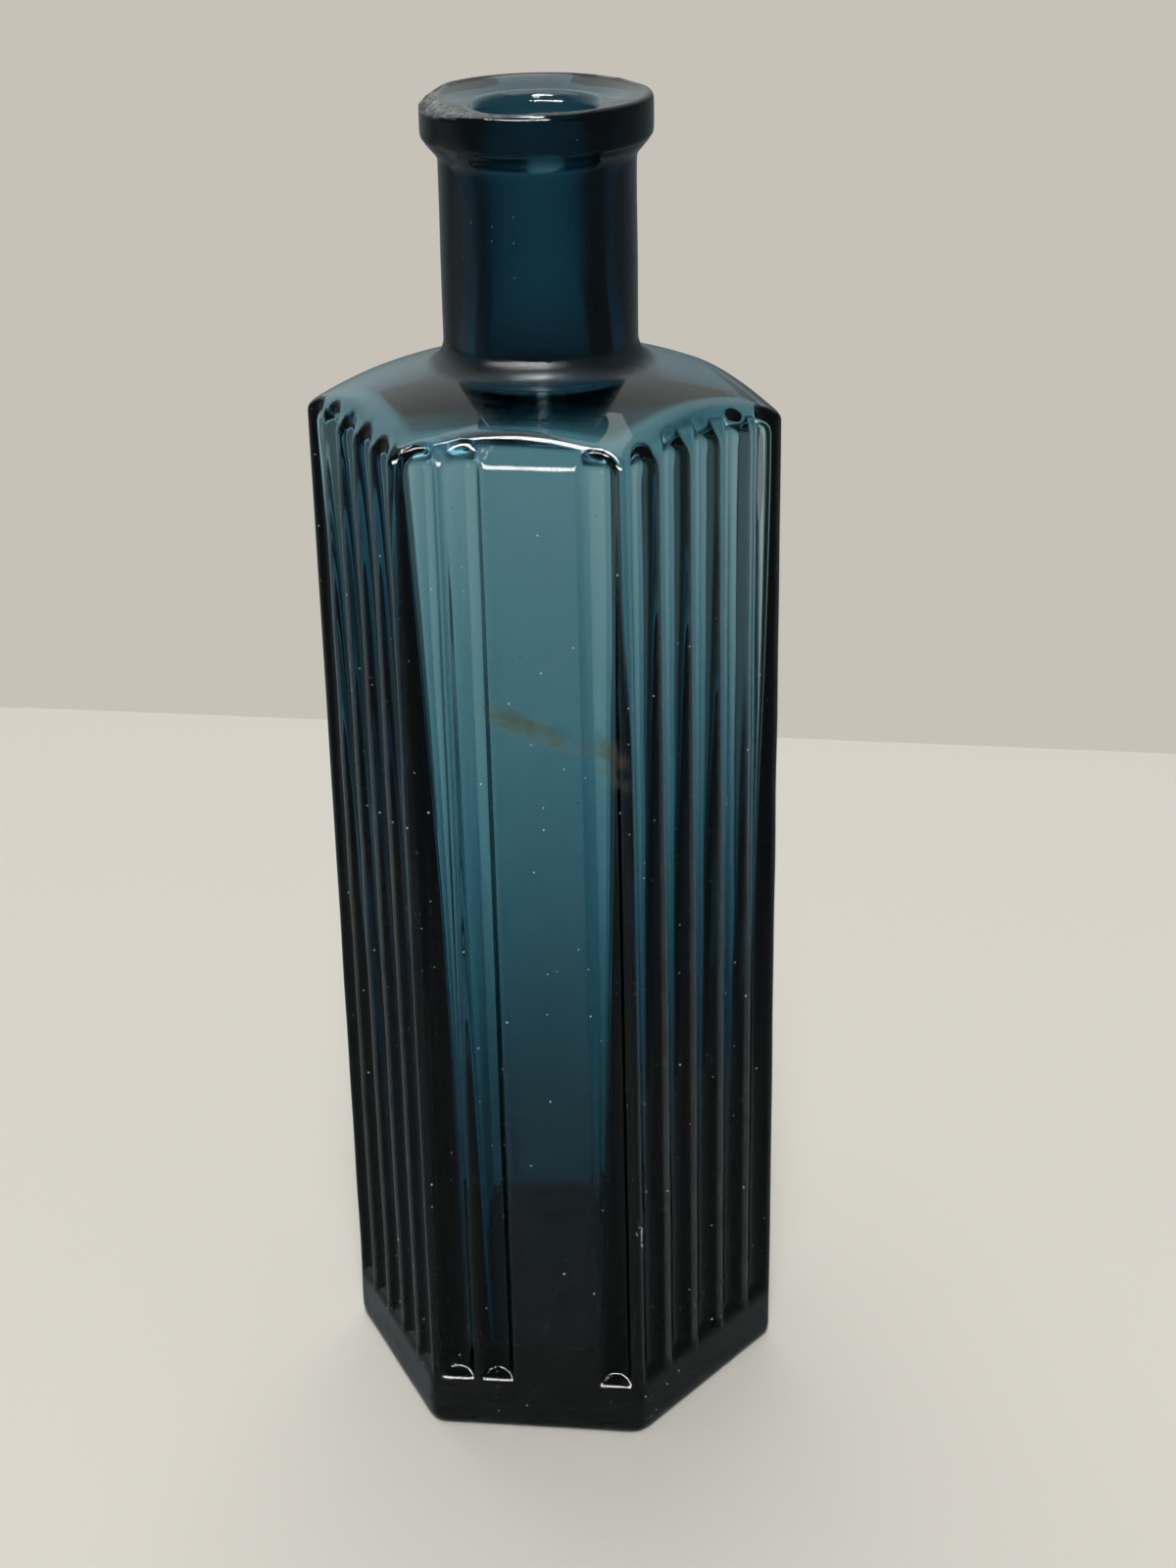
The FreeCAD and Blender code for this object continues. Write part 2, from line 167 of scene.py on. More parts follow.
def inside(x, y, z):
    """Below zero inside the hollow, with walls that thicken towards the base."""
    walls = FLOOR - z
    down = np.clip(WALL_TOP - z, 0, WALL_RUN) / WALL_UNIT
    corner = np.clip((np.abs(x) - CORNER_START) / CORNER_RUN, 0, 1)
    thin = 1 - CORNER_THINNING * corner * corner
    for panel in PANELS.values():
        thickness = WALL + panel.gain * down**panel.power
        walls = smooth_max(walls, out_of(panel, x, y) + thin * thickness, INNER_WALL_BLEND)
        walls = smooth_max(walls, bevel(panel, x, y, z) + thin * WALL, BEVEL_BLEND)
    radius = np.hypot(x, y)
    walls = smooth_max(walls, capped(radius, z, INNER_CENTRE, INNER_RADIUS), INNER_DOME_BLEND)
    column = np.maximum(radius - NECK_BORE, BORE_END - z)
    return smooth_min(walls, column, THROAT_BLEND)


# Angles of the mesh's upright lines: close together on the fluted panels.
angles = []
for panel in PANELS.values():
    along = panel.middle + panel.length * ((np.arange(panel.lines) + 0.5) / panel.lines - 0.5)
    level_y = panel.y * panel.distance + panel.x * along
    level_x = panel.x * panel.distance - panel.y * along
    angles.append(np.arctan2(level_y, level_x))
angles = np.unwrap(np.concatenate(angles))
COUNT = len(angles)
HALVINGS = 24


def cast(shape, heights, tilts, nearest, furthest):
    """Where rays from points on the axis meet a shape, one ring for each height and tilt in degrees."""
    heights, tilts = np.broadcast_arrays(np.asarray(heights, float), np.radians(tilts))
    across = np.cos(tilts)[:, None] * np.ones(COUNT)
    up = np.sin(tilts)[:, None] * np.ones(COUNT)
    low = np.full(across.shape, nearest, float)
    high = np.full(across.shape, furthest, float)
    for halving in range(HALVINGS):
        middle = (low + high) / 2
        reach = middle * across
        value = shape(reach * np.cos(angles), reach * np.sin(angles), heights[:, None] + middle * up)
        low = np.where(value < 0, middle, low)
        high = np.where(value < 0, high, middle)
    reach = low * across
    return np.stack([reach * np.cos(angles), reach * np.sin(angles), heights[:, None] + low * up], axis=-1)


def turned(profile):
    """Rings of revolution through a list of radius and height."""
    radius, height = np.array(profile, float).T
    ring = np.stack([np.cos(angles), np.sin(angles), np.zeros(COUNT)], axis=-1)
    return radius[:, None, None] * ring + height[:, None, None] * np.array([0, 0, 1.0])


def arc(centre, radius, first, last, steps):
    """Points of an arc in radius and height, between two angles in degrees."""
    turn = np.radians(np.linspace(first, last, steps))
    return [(centre[0] + radius * math.cos(t), centre[1] + radius * math.sin(t)) for t in turn]


def runs(*spans):
    """Even steps along spans of first value, last value and count; False there leaves the last value out."""
    return np.concatenate([np.linspace(*span) for span in spans])


# How far rays are followed from the axis, and the heights from which fans of rays are cast.
OUTER_REACH, INNER_REACH = (5, 45), (2, 45)
HEEL_CENTRE, SHOULDER_CENTRE, INNER_SHOULDER_CENTRE, INNER_FLOOR_CENTRE = 9.0, 120.0, 112.0, 24.0
LEVEL = 0.0

# Rings of the outer surface, from the middle of the base up to the neck.
heel = cast(outside, HEEL_CENTRE, np.linspace(-20.0, -7.5, 14), *OUTER_REACH)
base = heel[:1] * np.linspace(0.03, 0.97, 14)[:, None, None]
base_radius = np.hypot(base[..., 0], base[..., 1])
base[..., 2] = np.maximum(BASE_DISH_RISE - BASE_DISH_RISE * (base_radius / BASE_DISH_RADIUS) ** 2, 0.0)
ledges = cast(outside, runs((5.9, 9.6, 26), (9.9, 13, 6)), LEVEL, *OUTER_REACH)
walls = cast(outside, np.linspace(16, 127.5, 34), LEVEL, *OUTER_REACH)
# The first two spans leave out their last value, which begins the next.
fan = runs((18, 22, 4, False), (22, 33.5, 43, False), (33.5, 60.5, 44))
shoulder = cast(outside, SHOULDER_CENTRE, fan, *OUTER_REACH)
neck = cast(outside, runs((142.4, 146, 8), (148, 164, 9)), LEVEL, *OUTER_REACH)

# Rings of the lip, rounded as tooled glass is, and of the bore.
lip = turned(
    [(NECK_RADIUS, 164.6), (NECK_RADIUS + 0.08, 164.9)]
    + [(NECK_RADIUS + 0.3, 165.3), (NECK_RADIUS + 0.9, 166.0), (LIP_RADIUS - 0.5, 166.7)]
    + arc((LIP_RADIUS - 1.0, 167.75), 1.0, -50, 0, 9)
    + [(LIP_RADIUS + 0.03, z) for z in np.linspace(168.2, 170.8, 8)]
    + arc((LIP_RADIUS - RIM_ROUND, RIM_CENTRE), RIM_ROUND, 0, 100, 16)
    + [(r, 171.75 - 0.25 * (12.6 - r)) for r in np.linspace(12.6, 9.0, 16)]
    + arc((8.5, 169.4), 1.4, 80, 180, 12)
)
BORE_TOP, BORE_WAIST, BORE_LOW = 168.2, 160.2, 150
bore_heights = np.linspace(BORE_TOP, BORE_LOW, 12)
bore_radii = np.interp(bore_heights, (BORE_WAIST, BORE_TOP), (NECK_BORE, BORE_RADIUS))
bore = turned(list(zip(bore_radii, bore_heights)))

# Rings of the hollow, from the neck down to the floor.
inner_shoulder = cast(inside, INNER_SHOULDER_CENTRE, np.linspace(76.5, 25, 44), *INNER_REACH)
inner_walls = cast(inside, np.linspace(121, 18, 34), LEVEL, *INNER_REACH)
inner_floor = cast(inside, INNER_FLOOR_CENTRE, np.linspace(-22, -88, 36), *INNER_REACH)

outer_rings = np.concatenate([base, heel, ledges, walls, shoulder, neck])
inner_rings = np.concatenate([bore, inner_shoulder, inner_walls, inner_floor])


# Uneven surfaces: slow waves, each a sum of seeded sines.
def waves(points, count, shortest, longest):
    total = np.zeros(points.shape[:-1])
    for wave in range(count):
        direction = chance.normal(size=3)
        direction *= 2 * math.pi / chance.uniform(shortest, longest) / np.linalg.norm(direction)
        total += np.sin(points @ direction + chance.uniform(0, 2 * math.pi))
    return total / math.sqrt(count)


def swell(points, amount):
    """Move points level, away from the axis."""
    level = points[..., :2] / np.maximum(np.hypot(points[..., 0], points[..., 1]), 1.0)[..., None]
    points[..., :2] += level * amount[..., None]


def soft(value, first, last):
    """A soft step from zero to one."""
    share = np.clip((value - first) / (last - first), 0, 1)
    return share * share * (3 - 2 * share)


def broken(points, facets):
    """Cut the lip back to planes where glass has chipped away, and tell where."""
    moved = np.zeros(points.shape[:-1])
    for turn, rise, depth in facets:
        turn, rise = math.radians(turn), math.radians(rise)
        normal = np.array([math.cos(rise) * math.sin(turn), -math.cos(rise) * math.cos(turn), math.sin(rise)])
        uncut = math.cos(rise) * (LIP_RADIUS - RIM_ROUND) + math.sin(rise) * RIM_CENTRE + RIM_ROUND
        over = np.maximum(points @ normal - uncut + depth, 0)
        points -= over[..., None] * normal
        moved += over
    return soft(moved, *CHIP_EDGE)


# Wear and painted light: soft steps in millimetres of the scuffs, the crests' wear and painted highlight, the
# cloudy neck foot and bore, the painted shade of the throat and the chips.
PROUD, CREST, OVER_LEDGE = (-0.5, -0.15), (-0.32, -0.12), (8.6, 9.2)
FOOT_FIRST, FOOT_LAST = (139.6, 140.4), (142.0, 143.2)
CLOUDY_BORE = (146, 154)
# Painted shade in the throat fades in and out between these heights.
THROAT_SHADE_FIRST, THROAT_SHADE_LAST = (135.0, 137.2), (142.5, 145.0)
LIP_FACE, LIP_DARKENING = (12.0, 13.2), 0.87
CHIP_EDGE, CHIP_JAGS = (0.02, 0.25), 0.16
# Chipped facets of the lip: turn from the front and rise in degrees, and depth.
FACETS = [(-62, 79, 1.0), (-80, 72, 0.85), (-44, 74, 0.5), (-68, 58, 0.55), (-93, 60, 0.5), (-52, 84, 0.75)]
FACETS += [(148, 55, 0.25), (161, 40, 0.3), (128, 62, 0.2)]

outs = {name: out_of(panel, outer_rings[..., 0], outer_rings[..., 1]) for name, panel in PANELS.items()}
outer_height, inner_height = outer_rings[..., 2], inner_rings[..., 2]
proud = soft(np.max(list(outs.values()), axis=0), *PROUD)
# The crests of the side flutes carry wear and a painted highlight, paler than the glass beside them.
crest_wear_and_sheen = soft(np.maximum(outs["left"], outs["right"]), *CREST) * soft(outer_height, *OVER_LEDGE)
foot = soft(outer_height, *FOOT_FIRST) * (1 - soft(outer_height, *FOOT_LAST))
clouded = soft(inner_height, *CLOUDY_BORE)
chip = broken(lip, FACETS)
# Roughness and dullness of the outer surface, the lip and the hollow, in that order; on the side crests the
# dullness is partly a painted highlight.
CLEAN_ROUGH, PROUD_ROUGH, FOOT_ROUGH, BORE_ROUGH = 0.015, 0.12, 0.4, 0.3
LIP_ROUGH, CHIP_ROUGH = 0.02, 0.14
PROUD_DULL, CREST_WEAR_AND_SHEEN, FOOT_DULL, CHIP_DULL = 0.009, 0.035, 0.008, 0.13
outer_haze = CLEAN_ROUGH + PROUD_ROUGH * proud + FOOT_ROUGH * foot
haze = [outer_haze, LIP_ROUGH + CHIP_ROUGH * chip, CLEAN_ROUGH + BORE_ROUGH * clouded]
outer_dull_and_sheen = PROUD_DULL * proud + CREST_WEAR_AND_SHEEN * crest_wear_and_sheen + FOOT_DULL * foot
dull_and_sheen = [outer_dull_and_sheen, CHIP_DULL * chip, 0 * inner_height]
# The lip's outer face is tinted darker, and painted shade darkens the throat where the bore opens into the
# hollow.
lip_face = soft(np.hypot(lip[..., 0], lip[..., 1]), *LIP_FACE)
throat_shade = soft(inner_height, *THROAT_SHADE_FIRST) * (1 - soft(inner_height, *THROAT_SHADE_LAST))
dark_lip_and_shade = [0 * outer_height, LIP_DARKENING * lip_face, throat_shade]

# Waves of each surface: how many there are, and their shortest and longest lengths.
OUTER_WAVES, INNER_WAVES, CHIP_WAVES = (14, 9, 26), (14, 24, 60), (14, 1.0, 2.6)
OUTER_SWELL, INNER_SWELL = 0.03, 0.10
swell(outer_rings, OUTER_SWELL * waves(outer_rings, *OUTER_WAVES))
swell(inner_rings, INNER_SWELL * waves(inner_rings, *INNER_WAVES))
lip[..., 2] -= CHIP_JAGS * chip * np.abs(waves(lip, *CHIP_WAVES))
rings = np.concatenate([outer_rings, lip, inner_rings])

# The body twists, and narrows a little on the left, as it came from its mould.
TWIST, TWIST_FOOT, TWIST_RUN = math.radians(-2.2), 8.0, 125.0
NARROWING, NARROW_MIDDLE, NARROW_START = 1.2, 0.8, 14.0
height = np.clip((rings[..., 2] - TWIST_FOOT) / TWIST_RUN, 0, 1)
twist = TWIST * height
level_x = np.cos(twist) * rings[..., 0] - np.sin(twist) * rings[..., 1]
level_y = np.sin(twist) * rings[..., 0] + np.cos(twist) * rings[..., 1]
leftward = np.clip(-NARROW_START - level_x, 0, NARROW_START) / NARROW_START
rings[..., 0] = level_x + NARROWING * (NARROW_MIDDLE - height) * leftward
rings[..., 1] = level_y
# The hand-tooled lip leans a little towards the front.
LIP_LEAN, LEAN_FIRST, LEAN_LAST = math.radians(2.5), 158.0, 166.0
rings[..., 2] += math.tan(LIP_LEAN) * rings[..., 1] * soft(rings[..., 2], LEAN_FIRST, LEAN_LAST)


def ring_mesh(name, rings, first_end, last_end):
    """A closed mesh through rings of points, from one end point to the other."""
    ring_count = len(rings)
    points = np.concatenate([rings.reshape(-1, 3), [first_end, last_end]])
    index = np.arange(ring_count * COUNT).reshape(ring_count, COUNT)
    after = np.roll(index, -1, axis=1)
    quads = np.stack([index[:-1], after[:-1], after[1:], index[1:]], axis=-1).reshape(-1, 4)
    start, end = ring_count * COUNT, ring_count * COUNT + 1
    first_fan = np.stack([np.full(COUNT, start), after[0], index[0]], axis=-1)
    last_fan = np.stack([np.full(COUNT, end), index[-1], after[-1]], axis=-1)
    mesh = bpy.data.meshes.new(name)
    mesh.from_pydata((points * MM).tolist(), [], quads.tolist() + first_fan.tolist() + last_fan.tolist())
    return mesh


def paint(mesh, name, values):
    """Store one value for each point of a ring mesh, ends included."""
    values = np.concatenate(values)
    ends = [values[0].mean(), values[-1].mean()]
    mesh.attributes.new(name, "FLOAT", "POINT").data.foreach_set("value", np.append(values.ravel(), ends))


mesh = ring_mesh("bottle_glass", rings, (0, 0, BASE_DISH_RISE), (0, 0, FLOOR))
paint(mesh, "haze", haze)
paint(mesh, "dull_and_sheen", dull_and_sheen)
paint(mesh, "dark_lip_and_shade", dark_lip_and_shade)
mesh.validate()
mesh.shade_smooth()
bottle = bpy.data.objects.new("bottle_glass", mesh)
scene.collection.objects.link(bottle)
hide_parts("glass_body", "applied_lip")
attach(bottle, "root")


class NodeTree:
    """The nodes of a material or world, added and linked by short calls."""

    def __init__(self, owner):
        owner.use_nodes = True
        self.nodes = owner.node_tree.nodes
        self.links = owner.node_tree.links

    def add(self, kind, **settings):
        node = self.nodes.new(kind)
        for name, value in settings.items():
            setattr(node, name, value)
        return node

    def feed(self, socket, value):
        """Give a socket a value, or link an output to it."""
        if isinstance(value, bpy.types.NodeSocket):
            self.links.new(value, socket)
        else:
            socket.default_value = value

    def combine(self, operation, first, second, clamp=False):
        node = self.add("ShaderNodeMath", operation=operation, use_clamp=clamp)
        self.feed(node.inputs[0], first)
        self.feed(node.inputs[1], second)
        return node.outputs["Value"]

    def times(self, first, second):
        return self.combine("MULTIPLY", first, second)

    def greater(self, first, second):
        return self.combine("MAXIMUM", first, second)

    def less(self, first, second):
        return self.combine("SUBTRACT", first, second)

    def rises(self, value, first, last, curve="SMOOTHSTEP"):
        """A step of a value from zero to one."""
        node = self.add("ShaderNodeMapRange", interpolation_type=curve)
        self.feed(node.inputs["Value"], value)
        self.feed(node.inputs["From Min"], first)
        self.feed(node.inputs["From Max"], last)
        return node.outputs["Result"]

    def mix(self, share, first, second):
        """A mix of two colours, each a value or an output."""
        node = self.add("ShaderNodeMix", data_type="RGBA")
        for socket, value in (("Factor", share), ("A", first), ("B", second)):
            self.feed(node.inputs[socket], value)
        return node.outputs["Result"]

    def agreement(self, vector, direction):
        """How far a vector agrees with a direction."""
        node = self.add("ShaderNodeVectorMath", operation="DOT_PRODUCT")
        self.feed(node.inputs[0], vector)
        self.feed(node.inputs[1], direction)
        return node.outputs["Value"]

    def split(self, vector):
        node = self.add("ShaderNodeSeparateXYZ")
        self.feed(node.inputs["Vector"], vector)
        return node.outputs

    def mirror_rays(self, rays):
        """One for rays that are mirrored, and not for those that pass through glass."""
        glossy, through = rays.outputs["Is Glossy Ray"], rays.outputs["Is Transmission Ray"]
        return self.combine("SUBTRACT", glossy, through, clamp=True)


# Marks on the glass: middle, turn about the front's outward axis in degrees, and half sizes.
STAINS = (((1.0, -HALF_DEPTH, 101.0), 22, (9, 6, 2.2)), ((10.5, -HALF_DEPTH, 97.0), 60, (5.5, 6, 3.0)))
SCUFFS = (((14.2, -25.4, 30.5), -10, (0.9, 3, 2.6)), ((-3.3, -25.4, 135.2), 30, (0.8, 2, 1.6)))
# Tints of the surface where it is clear, where it is stained, and where the lip is darker and the throat
# holds painted shade.
CLEAR_TINT, STAIN_TINT, DARK_LIP_AND_SHADE_TINT = (0.94, 0.985, 1.0, 1), (0.60, 0.54, 0.36, 1), (0.04, 0.07, 0.11, 1)
GLASS_IOR = 1.52
# How white dust and scuffs are, how much the stain dulls the glass, and how a grain varies the dullness with
# its painted highlight, and the roughness.
DUST_WHITE, SCUFF_WHITE, STAIN_DULL = 0.8, 0.5, 0.08
UNEVEN_GAIN, UNEVEN_LEAST = 1.2, 0.4
SPECK_EDGE = 0.05
# In metres: the cleaner part of the bottle starts and ends between these heights.
CLEANER_FIRST, CLEANER_LAST, CLEANER_SHARE = (0.115, 0.140), (0.162, 0.166), 0.85
# Mirrored light is weaker than in clean glass, as on a worn surface.
MIRROR_TINT = (0.55, 0.55, 0.55, 1)
ABSORBED_COLOUR, ABSORBED_DENSITY = (0.09, 0.476, 0.576, 1), 500.0


def glass_look():
    """Glass: clear at its surface and coloured through its thickness, with its wear."""
    look = bpy.data.materials.new("teal_glass")
    tree = NodeTree(look)
    place = tree.add("ShaderNodeTexCoord").outputs["Object"]

    def grain(scale, detail):
        node = tree.add("ShaderNodeTexNoise")
        for socket, value in (("Vector", place), ("Scale", scale), ("Detail", detail)):
            tree.feed(node.inputs[socket], value)
        return node.outputs["Fac"]

    def painted(name):
        return tree.add("ShaderNodeAttribute", attribute_name=name).outputs["Fac"]

    def blot(centre, turn, halves):
        """A soft oval mark."""
        oval = tree.add("ShaderNodeMapping", vector_type="TEXTURE")
        tree.feed(oval.inputs["Vector"], place)
        tree.feed(oval.inputs["Location"], Vector(centre) * MM)
        tree.feed(oval.inputs["Rotation"], (0, math.radians(turn), 0))
        tree.feed(oval.inputs["Scale"], Vector(halves) * MM)
        fade = tree.add("ShaderNodeTexGradient", gradient_type="SPHERICAL")
        tree.feed(fade.inputs["Vector"], oval.outputs["Vector"])
        return fade.outputs["Fac"]

    def marks(pair, first, last, breakup):
        """Two soft marks, broken up by a grain."""
        both = tree.greater(blot(*pair[0]), blot(*pair[1]))
        return tree.times(tree.rises(both, first, last), breakup)

    def specks(scale, share, size):
        """Small round specks in a share of the cells of a pattern."""
        cells = tree.add("ShaderNodeTexVoronoi")
        tree.feed(cells.inputs["Vector"], place)
        tree.feed(cells.inputs["Scale"], scale)
        pick = tree.add("ShaderNodeSeparateColor")
        tree.feed(pick.inputs["Color"], cells.outputs["Color"])
        reach = tree.times(tree.rises(pick.outputs["Red"], 1 - share, 1.0), size)
        return tree.rises(tree.less(reach, cells.outputs["Distance"]), 0.0, SPECK_EDGE)

    # Dust lies in patches, and there is less of it on the neck and shoulder than on the body and the lip.
    fine_specks = specks(scale=760, share=0.4, size=0.12)
    large_specks = specks(scale=300, share=0.14, size=0.07)
    patches = tree.rises(grain(scale=70, detail=2), 0.30, 0.55)
    dust = tree.times(tree.greater(fine_specks, large_specks), patches)
    height = tree.split(place)["Z"]
    cleaner = tree.less(tree.rises(height, *CLEANER_FIRST), tree.rises(height, *CLEANER_LAST))
    dust = tree.times(dust, tree.less(1.0, tree.times(cleaner, CLEANER_SHARE)))
    # A brown-green stain across the upper middle of the front, and pale scuffs on its right corner and brow.
    stain_grain = tree.rises(grain(scale=420, detail=4), 0.35, 0.6)
    stain = marks(STAINS, first=0.05, last=0.6, breakup=stain_grain)
    scuff_grain = tree.rises(grain(scale=1500, detail=3), 0.48, 0.62)
    scuff = marks(SCUFFS, first=0.05, last=0.5, breakup=scuff_grain)
    white = tree.greater(tree.times(dust, DUST_WHITE), tree.times(scuff, SCUFF_WHITE))
    uneven = tree.combine("ADD", tree.times(grain(scale=260, detail=5), UNEVEN_GAIN), UNEVEN_LEAST)
    # The dull film carries wear, the stain and the painted highlight on the side crests.
    film_and_sheen = tree.combine("ADD", tree.times(painted("dull_and_sheen"), uneven), tree.times(stain, STAIN_DULL))

    surface = tree.nodes["Principled BSDF"]
    # The darkest tint holds the darker lip and the painted shade in the throat.
    tint = tree.mix(painted("dark_lip_and_shade"), tree.mix(stain, CLEAR_TINT, STAIN_TINT), DARK_LIP_AND_SHADE_TINT)
    tree.feed(surface.inputs["Base Color"], tint)
    tree.feed(surface.inputs["Transmission Weight"], tree.less(1.0, tree.greater(film_and_sheen, white)))
    tree.feed(surface.inputs["Roughness"], tree.times(painted("haze"), uneven))
    tree.feed(surface.inputs["IOR"], GLASS_IOR)
    tree.feed(surface.inputs["Specular Tint"], MIRROR_TINT)
    depth = tree.add("ShaderNodeVolumeAbsorption")
    tree.feed(depth.inputs["Color"], ABSORBED_COLOUR)
    tree.feed(depth.inputs["Density"], ABSORBED_DENSITY)
    tree.feed(tree.nodes["Material Output"].inputs["Volume"], depth.outputs["Volume"])
    return look


mesh.materials.append(glass_look())

# Stage: a pale sheet to stand on and a pale surround; seen through the glass, both are darker towards one
# side, on the sheet as painted shade.
DARK_SIDE, DARK_STEP = (0.970, -0.242, 0), (0.03, 0.25)
PAPER, PAPER_PAINTED_SHADE, PAPER_MIRRORED = (0.78, 0.76, 0.70, 1), (0.03, 0.03, 0.03, 1), (0.25, 0.29, 0.30, 1)
PAPER_ROUGHNESS = 0.8
# In metres: the painted shade on the sheet begins a little in front of the bottle's middle.
BEHIND_FIRST, BEHIND_LAST = -0.04, 0.0


def paper_look():
    """Pale paper, as the eye sees it and as the glass shows it, with painted shade where the glass shows it
    behind the bottle to the right.
    """
    look = bpy.data.materials.new("floor_paper")
    tree = NodeTree(look)
    rays = tree.add("ShaderNodeLightPath")
    position = tree.add("ShaderNodeNewGeometry").outputs["Position"]
    flat = tree.add("ShaderNodeVectorMath", operation="NORMALIZE")
    tree.feed(flat.inputs[0], position)
    # Painted shade: seen through the glass, the sheet behind the bottle turns nearly black towards the right,
    # matching the room beyond it.
    beyond = tree.rises(tree.agreement(flat.outputs["Vector"], DARK_SIDE), *DARK_STEP)
    behind = tree.rises(tree.split(position)["Y"], BEHIND_FIRST, BEHIND_LAST, "LINEAR")
    painted_shade = tree.times(tree.times(beyond, behind), rays.outputs["Is Transmission Ray"])
    shade = tree.mix(painted_shade, PAPER, PAPER_PAINTED_SHADE)
    # In the glass's own mirror the sheet is dimmer, so that the flutes stay clear.
    surface = tree.nodes["Principled BSDF"]
    tree.feed(surface.inputs["Base Color"], tree.mix(tree.mirror_rays(rays), shade, PAPER_MIRRORED))
    tree.feed(surface.inputs["Roughness"], PAPER_ROUGHNESS)
    tree.feed(surface.inputs["Specular IOR Level"], 0.0)
    return look


FAR_MIDDLE, FAR_SLOPE = 230.0, 0.032


def far_edge(x):
    """Where the sheet ends behind the bottle, in millimetres."""
    return FAR_MIDDLE - FAR_SLOPE * x


def sheet(name, left, right, front, height, look):
    """A flat sheet of the stage."""
    far_corners = [(right, far_edge(right), height), (left, far_edge(left), height)]
    corners = [(left, front, height), (right, front, height)] + far_corners
    flat = bpy.data.meshes.new(name)
    flat.from_pydata([Vector(corner) * MM for corner in corners], [], [list(range(len(corners)))])
    flat.materials.append(look)
    item = bpy.data.objects.new(name, flat)
    scene.collection.objects.link(item)
    return item


# The glass shows only the sheet near the bottle; the wider floor round it is for the eye.
paper = paper_look()
sheet("floor", left=-155, right=106, front=-200, height=0.0, look=paper)
floor_round = sheet("floor_round", left=-900, right=900, front=-900, height=-0.2, look=paper)
floor_round.visible_transmission = False
floor_round.visible_glossy = False

# Colours of the surround: the wall for the eye, then what the glass shows and mirrors.
PALE_WALL, PALE_THROUGH = (0.57, 0.535, 0.475, 1), (0.64, 0.61, 0.55, 1)
DIM_ROOM, DARK_ROOM = (0.17, 0.16, 0.146, 1), (0.03, 0.028, 0.026, 1)
BRIGHT, PLAIN = (40.0, 39.0, 37.0, 1), (0.14, 0.175, 0.185, 1)
OVERHEAD, LOW_LEFT = (0.74, 0.80, 0.78, 1), (0.36, 0.40, 0.40, 1)
# Directions in the room.
UPWARD, FRONTWARD = (0, 0, 1), (0, -1, 0)
NEAR_RIGHT, NEAR_LEFT = (0.259, -0.966, 0), (-0.643, -0.766, 0)
BANDS_RIGHT, BANDS_LEFT = (0.940, 0.342, 0), (-0.707, 0.707, 0)
OVERHEAD_PLACE, LOW_LEFT_PLACE = (-0.35, 0.45, 0.82), (-0.75, 0, -0.66)
# Steps of agreement with a direction, where one tone gives way to the next.
NEAR_STEP, FRONT_STEP, BAND_END = (-0.10, 0.10), (0.10, 0.20), (-0.03, 0.03)
LOW_BAND_FOOT, LOW_BAND_TOP, HIGH_BAND_FOOT = (0.17, 0.19), (0.37, 0.39), (0.885, 0.90)
OVERHEAD_STEP, LOW_LEFT_STEP = (0.35, 0.85), (0.78, 0.90)


def surround():
    """A pale wall behind the bottle, and a dim room elsewhere for what the glass shows."""
    world = bpy.data.worlds.new("surround")
    tree = NodeTree(world)
    rays = tree.add("ShaderNodeLightPath")
    facing = tree.add("ShaderNodeTexCoord").outputs["Generated"]

    def past(direction, first, last):
        return tree.rises(tree.agreement(facing, direction), first, last)

    tone = tree.mix(past(DARK_SIDE, *DARK_STEP), PALE_THROUGH, DARK_ROOM)
    tone = tree.mix(past(NEAR_RIGHT, *NEAR_STEP), tone, DIM_ROOM)
    tone = tree.mix(past(NEAR_LEFT, *NEAR_STEP), tone, DIM_ROOM)
    # What the glass mirrors: two bright bands in front, low and high, and a wide soft patch overhead.
    bands = tree.mix(past(UPWARD, *LOW_BAND_FOOT), PLAIN, BRIGHT)
    bands = tree.mix(past(UPWARD, *LOW_BAND_TOP), bands, PLAIN)
    bands = tree.mix(past(UPWARD, *HIGH_BAND_FOOT), bands, BRIGHT)
    bands = tree.mix(past(BANDS_RIGHT, *BAND_END), bands, PLAIN)
    bands = tree.mix(past(BANDS_LEFT, *BAND_END), bands, PLAIN)
    overhead = tree.mix(past(OVERHEAD_PLACE, *OVERHEAD_STEP), PLAIN, OVERHEAD)
    mirrored = tree.mix(past(FRONTWARD, *FRONT_STEP), overhead, bands)
    # Low on the left the mirror finds more of the sheet.
    mirrored = tree.mix(past(LOW_LEFT_PLACE, *LOW_LEFT_STEP), mirrored, LOW_LEFT)
    tone = tree.mix(tree.mirror_rays(rays), tone, mirrored)
    tone = tree.mix(rays.outputs["Is Camera Ray"], tone, PALE_WALL)
    tree.feed(tree.nodes["Background"].inputs["Color"], tone)
    return world


scene.world = surround()


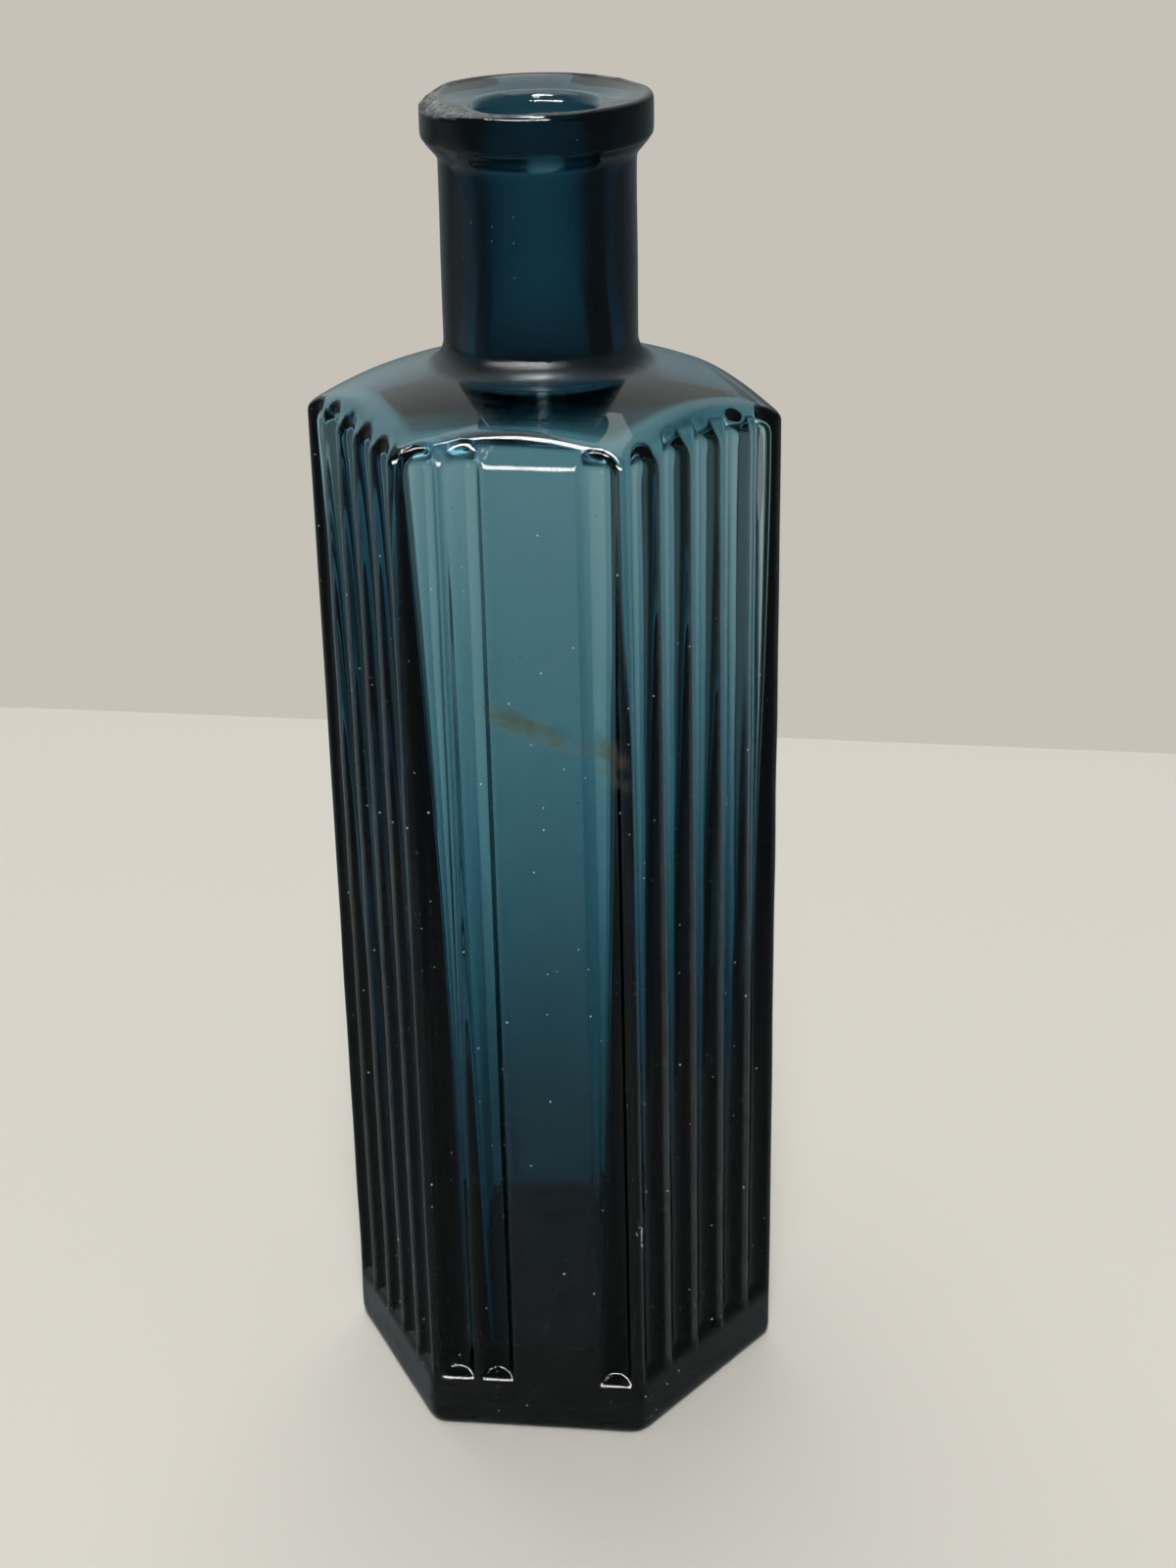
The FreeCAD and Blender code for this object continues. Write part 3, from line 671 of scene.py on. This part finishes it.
# Lights, in millimetres and watts.
def area_light(name, place, aim, size, power):
    lamp = bpy.data.lights.new(name, "AREA")
    lamp.shape = "RECTANGLE"
    lamp.size, lamp.size_y = size[0] * MM, size[1] * MM
    lamp.energy = power
    item = bpy.data.objects.new(name, lamp)
    item.location = Vector(place) * MM
    item.rotation_euler = (Vector(aim) - Vector(place)).to_track_quat("-Z", "Y").to_euler()
    scene.collection.objects.link(item)


STRIP_YAW, STRIP_AIM = 0.117, 60


def strip_light(name, lowest, highest, across, distance, power):
    """A strip that faces the bottle from the front, between two heights in degrees."""
    middle = math.radians((lowest + highest) / 2)
    reach = distance * math.cos(middle)
    height = STRIP_AIM + distance * math.sin(middle)
    place = (reach * math.sin(STRIP_YAW), -reach * math.cos(STRIP_YAW), height)
    width = 2 * distance * math.tan(math.radians(across / 2))
    length = 2 * distance * math.tan(math.radians((highest - lowest) / 2))
    area_light(name, place, (0, 0, STRIP_AIM), (width, length), power)


strip_light("high_strip", lowest=43, highest=76, across=9, distance=2600, power=36.0)
area_light("top_box", place=(-200, 500, 2100), aim=(0, 0, 0), size=(1600, 1600), power=12.5)

# Camera at the photograph's place and angle, with its focal length in the photograph's pixels.
CAMERA_PLACE = (42.07, -314.46, 215.24)
YAW, PITCH, ROLL = 0.1174, 0.3943, -0.0148
SENSOR_HEIGHT, FOCAL_PIXELS, PHOTO_HEIGHT = 36.0, 2669.3, 1600
NEAREST_SEEN = 10
forward = Vector((-math.sin(YAW) * math.cos(PITCH), math.cos(YAW) * math.cos(PITCH), -math.sin(PITCH)))
level = Vector((math.cos(YAW), math.sin(YAW), 0))
right = math.cos(ROLL) * level + math.sin(ROLL) * level.cross(forward)
upward = right.cross(forward)
lens = bpy.data.cameras.new("camera")
lens.sensor_fit = "VERTICAL"
lens.sensor_height = SENSOR_HEIGHT
lens.lens = SENSOR_HEIGHT * FOCAL_PIXELS / PHOTO_HEIGHT
lens.clip_start = NEAREST_SEEN * MM
camera = bpy.data.objects.new("camera", lens)
facing_turn = Matrix((right, upward, -forward)).transposed().to_4x4()
camera.matrix_world = Matrix.Translation(Vector(CAMERA_PLACE) * MM) @ facing_turn
scene.collection.objects.link(camera)
scene.camera = camera
